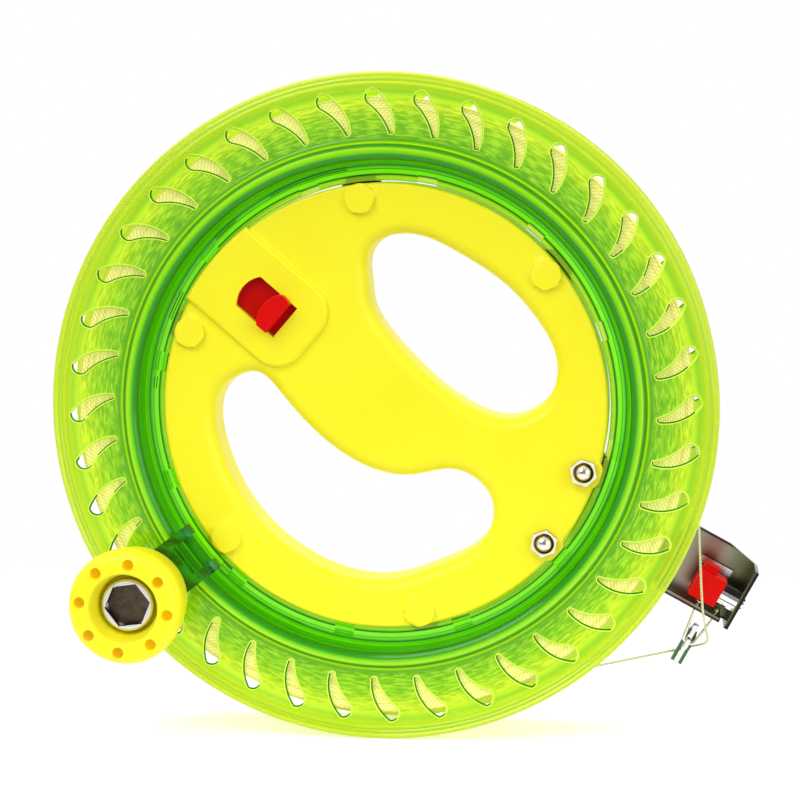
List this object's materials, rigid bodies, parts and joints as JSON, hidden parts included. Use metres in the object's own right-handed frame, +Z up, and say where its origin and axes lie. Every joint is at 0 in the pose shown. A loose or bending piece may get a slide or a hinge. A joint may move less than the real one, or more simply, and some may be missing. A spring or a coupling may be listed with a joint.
{
  "type": "kite line winder",
  "caption": "Hand-held kite line winder: a slotted see-through wheel turns on bearings round a grip with two finger holes, with a folding crank knob, a lock slider and a line guide.",
  "frame": {"origin": "middle of the bar between the finger holes: on the wheel's axis, in the mid-plane between the two halves", "axes": "+Y along the wheel's axis towards the back, +Z up, +X to the right as seen from the crank side"},
  "size_m": [0.2342, 0.0677, 0.22],
  "materials": {
    "lime_plastic": "clear tinted, glossy",
    "yellow_plastic": "satin gloss",
    "red_plastic": "satin gloss",
    "steel": "rolled sheet",
    "polished_steel": "polished",
    "black_rubber": "matte",
    "green_paint": "gloss",
    "line_fibre": "twisted line"
  },
  "bodies": {
    "grip": {"grip_front_shell": "yellow_plastic", "grip_rear_shell": "yellow_plastic", "grip_screws": "steel", "bearing_axle_screws": "steel", "bearing_inner_rings": "polished_steel", "lock_retainer": "yellow_plastic", "lock_retainer_screws": "steel", "lock_detent_spring": "steel", "guide_bracket": "steel", "bracket_bolts": "polished_steel", "bracket_dome_nuts": "polished_steel", "guide_bar": "polished_steel", "clip_bail": "steel", "free_line": "line_fibre"},
    "wheel": {"spool_front_half": "lime_plastic", "spool_rear_half": "lime_plastic", "spool_screws": "steel", "line_pack": "line_fibre"},
    "crank": {"crank_arm": "lime_plastic", "crank_hinge_pin": "steel", "knob_axle": "polished_steel"},
    "knob": {"crank_knob": "yellow_plastic"},
    "lock": {"lock_slider": "red_plastic"},
    "gate": {"line_gate": "red_plastic"},
    "clip": {"clip_leaf": "steel", "clip_pivot_pin": "steel"},
    "jaw_left": {"clip_jaw_left": "green_paint"},
    "jaw_right": {"clip_jaw_right": "green_paint"},
    "bearing_1": {"bearing_1_outer_ring": "polished_steel", "bearing_1_seals": "black_rubber"},
    "balls_1": {"bearing_1_balls": "polished_steel"},
    "bearing_2": {"bearing_2_outer_ring": "polished_steel", "bearing_2_seals": "black_rubber"},
    "balls_2": {"bearing_2_balls": "polished_steel"},
    "bearing_3": {"bearing_3_outer_ring": "polished_steel", "bearing_3_seals": "black_rubber"},
    "balls_3": {"bearing_3_balls": "polished_steel"},
    "bearing_4": {"bearing_4_outer_ring": "polished_steel", "bearing_4_seals": "black_rubber"},
    "balls_4": {"bearing_4_balls": "polished_steel"},
    "bearing_5": {"bearing_5_outer_ring": "polished_steel", "bearing_5_seals": "black_rubber"},
    "balls_5": {"bearing_5_balls": "polished_steel"},
    "bearing_6": {"bearing_6_outer_ring": "polished_steel", "bearing_6_seals": "black_rubber"},
    "balls_6": {"bearing_6_balls": "polished_steel"}
  },
  "joints": [
    {"name": "wheel_spin", "type": "hinge", "parent": "grip", "child": "wheel", "pos_m": [0, 0, 0], "axis": [0, -1, 0], "continuous": true},
    {"name": "crank_fold", "type": "hinge", "parent": "wheel", "child": "crank", "pos_m": [-0.06116, -0.0214, -0.04744], "axis": [-0.6129, 0, 0.7902], "range_deg": [0, 95]},
    {"name": "knob_spin", "type": "hinge", "parent": "crank", "child": "knob", "pos_m": [-0.08075, -0.0352, -0.06264], "axis": [0, -1, 0], "continuous": true},
    {"name": "lock_slide", "type": "slide", "parent": "grip", "child": "lock", "axis": [-0.7604, 0, 0.6494], "range_m": [0, 0.005]},
    {"name": "gate_slide", "type": "slide", "parent": "grip", "child": "gate", "axis": [0.8796, 0, -0.4756], "range_m": [0, 0.006]},
    {"name": "clip_swing", "type": "hinge", "parent": "grip", "child": "clip", "pos_m": [0.10123, 0.011, -0.08043], "axis": [0, -1, 0], "range_deg": [-5, 5]},
    {"name": "jaw_left_open", "type": "hinge", "parent": "clip", "child": "jaw_left", "pos_m": [0.10342, 0.013, -0.07638], "axis": [0, 1, 0], "range_deg": [0, 12], "stiffness_Nm_per_rad": 0.001, "springref_deg": -2.86},
    {"name": "jaw_right_open", "type": "hinge", "parent": "clip", "child": "jaw_right", "pos_m": [0.10342, 0.0144, -0.07638], "axis": [0, -1, 0], "range_deg": [0, 12]},
    {"name": "bearing_1_spin", "type": "hinge", "parent": "grip", "child": "bearing_1", "pos_m": [0.05332, 0, 0.04411], "axis": [0, -1, 0], "continuous": true},
    {"name": "balls_1_orbit", "type": "hinge", "parent": "grip", "child": "balls_1", "pos_m": [0.05332, 0, 0.04411], "axis": [0, -1, 0], "continuous": true},
    {"name": "bearing_2_spin", "type": "hinge", "parent": "grip", "child": "bearing_2", "pos_m": [-0.00795, 0, 0.06874], "axis": [0, -1, 0], "continuous": true},
    {"name": "balls_2_orbit", "type": "hinge", "parent": "grip", "child": "balls_2", "pos_m": [-0.00795, 0, 0.06874], "axis": [0, -1, 0], "continuous": true},
    {"name": "bearing_3_spin", "type": "hinge", "parent": "grip", "child": "bearing_3", "pos_m": [-0.06477, 0, 0.02435], "axis": [0, -1, 0], "continuous": true},
    {"name": "balls_3_orbit", "type": "hinge", "parent": "grip", "child": "balls_3", "pos_m": [-0.06477, 0, 0.02435], "axis": [0, -1, 0], "continuous": true},
    {"name": "bearing_4_spin", "type": "hinge", "parent": "grip", "child": "bearing_4", "pos_m": [-0.05301, 0, -0.04448], "axis": [0, -1, 0], "continuous": true},
    {"name": "balls_4_orbit", "type": "hinge", "parent": "grip", "child": "balls_4", "pos_m": [-0.05301, 0, -0.04448], "axis": [0, -1, 0], "continuous": true},
    {"name": "bearing_5_spin", "type": "hinge", "parent": "grip", "child": "bearing_5", "pos_m": [0.01202, 0, -0.06815], "axis": [0, -1, 0], "continuous": true},
    {"name": "balls_5_orbit", "type": "hinge", "parent": "grip", "child": "balls_5", "pos_m": [0.01202, 0, -0.06815], "axis": [0, -1, 0], "continuous": true},
    {"name": "bearing_6_spin", "type": "hinge", "parent": "grip", "child": "bearing_6", "pos_m": [0.0661, 0, -0.02046], "axis": [0, -1, 0], "continuous": true},
    {"name": "balls_6_orbit", "type": "hinge", "parent": "grip", "child": "balls_6", "pos_m": [0.0661, 0, -0.02046], "axis": [0, -1, 0], "continuous": true}
  ],
  "couplings": [
    {"joint": "jaw_right_open", "follows": "jaw_left_open", "ratio": 1},
    {"joint": "bearing_1_spin", "follows": "wheel_spin", "ratio": 9.66},
    {"joint": "balls_1_orbit", "follows": "wheel_spin", "ratio": 6.118},
    {"joint": "bearing_2_spin", "follows": "wheel_spin", "ratio": 9.66},
    {"joint": "balls_2_orbit", "follows": "wheel_spin", "ratio": 6.118},
    {"joint": "bearing_3_spin", "follows": "wheel_spin", "ratio": 9.66},
    {"joint": "balls_3_orbit", "follows": "wheel_spin", "ratio": 6.118},
    {"joint": "bearing_4_spin", "follows": "wheel_spin", "ratio": 9.66},
    {"joint": "balls_4_orbit", "follows": "wheel_spin", "ratio": 6.118},
    {"joint": "bearing_5_spin", "follows": "wheel_spin", "ratio": 9.66},
    {"joint": "balls_5_orbit", "follows": "wheel_spin", "ratio": 6.118},
    {"joint": "bearing_6_spin", "follows": "wheel_spin", "ratio": 9.66},
    {"joint": "balls_6_orbit", "follows": "wheel_spin", "ratio": 6.118}
  ]
}
